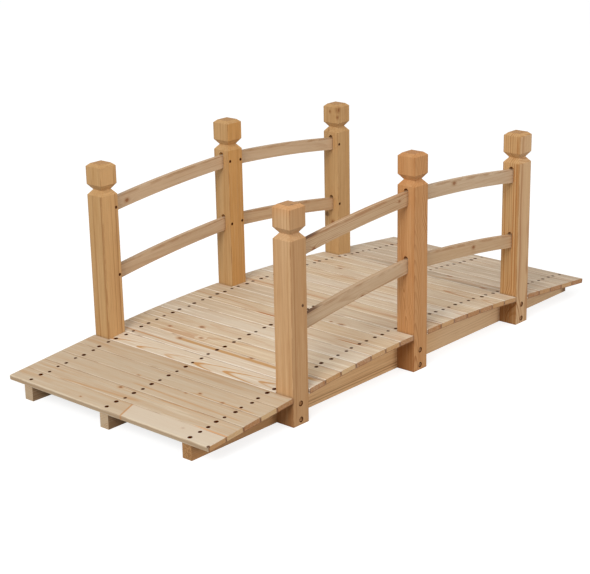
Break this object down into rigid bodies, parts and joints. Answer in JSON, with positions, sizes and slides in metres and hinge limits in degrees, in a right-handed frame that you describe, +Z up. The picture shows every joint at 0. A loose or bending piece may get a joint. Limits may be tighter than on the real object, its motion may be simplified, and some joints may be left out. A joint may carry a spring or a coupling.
{
  "type": "garden bridge",
  "caption": "Small arched timber garden bridge with a transverse plank deck on arched beams, and bowed rails set into square posts with grooved heads.",
  "frame": {"origin": "centre of the footprint, on the ground", "axes": "+X along the bridge, +Y across it from the near side to the far side, +Z up"},
  "size_m": [1.4994, 0.674, 0.551],
  "materials": {
    "beams": "planed, unfinished",
    "deck_planks": "planed, unfinished",
    "posts": "planed, unfinished",
    "rails": "planed, unfinished"
  },
  "bodies": {
    "root": {"beam_far": "beams", "beam_middle": "beams", "beam_near": "beams", "deck_plank_01": "deck_planks", "deck_plank_02": "deck_planks", "deck_plank_03": "deck_planks", "deck_plank_04": "deck_planks", "deck_plank_05": "deck_planks", "deck_plank_06": "deck_planks", "deck_plank_07": "deck_planks", "deck_plank_08": "deck_planks", "deck_plank_09": "deck_planks", "deck_plank_10": "deck_planks", "deck_plank_11": "deck_planks", "deck_plank_12": "deck_planks", "deck_plank_13": "deck_planks", "deck_plank_14": "deck_planks", "deck_plank_15": "deck_planks", "deck_plank_16": "deck_planks", "deck_plank_17": "deck_planks", "deck_plank_18": "deck_planks", "deck_plank_19": "deck_planks", "deck_plank_20": "deck_planks", "deck_plank_21": "deck_planks", "deck_plank_22": "deck_planks", "deck_plank_23": "deck_planks", "deck_plank_24": "deck_planks", "deck_plank_25": "deck_planks", "deck_plank_26": "deck_planks", "deck_plank_27": "deck_planks", "post_far_left": "posts", "post_far_middle": "posts", "post_far_right": "posts", "post_near_left": "posts", "post_near_middle": "posts", "post_near_right": "posts", "rail_far_left_lower": "rails", "rail_far_left_upper": "rails", "rail_far_right_lower": "rails", "rail_far_right_upper": "rails", "rail_near_left_lower": "rails", "rail_near_left_upper": "rails", "rail_near_right_lower": "rails", "rail_near_right_upper": "rails"}
  },
  "joints": []
}
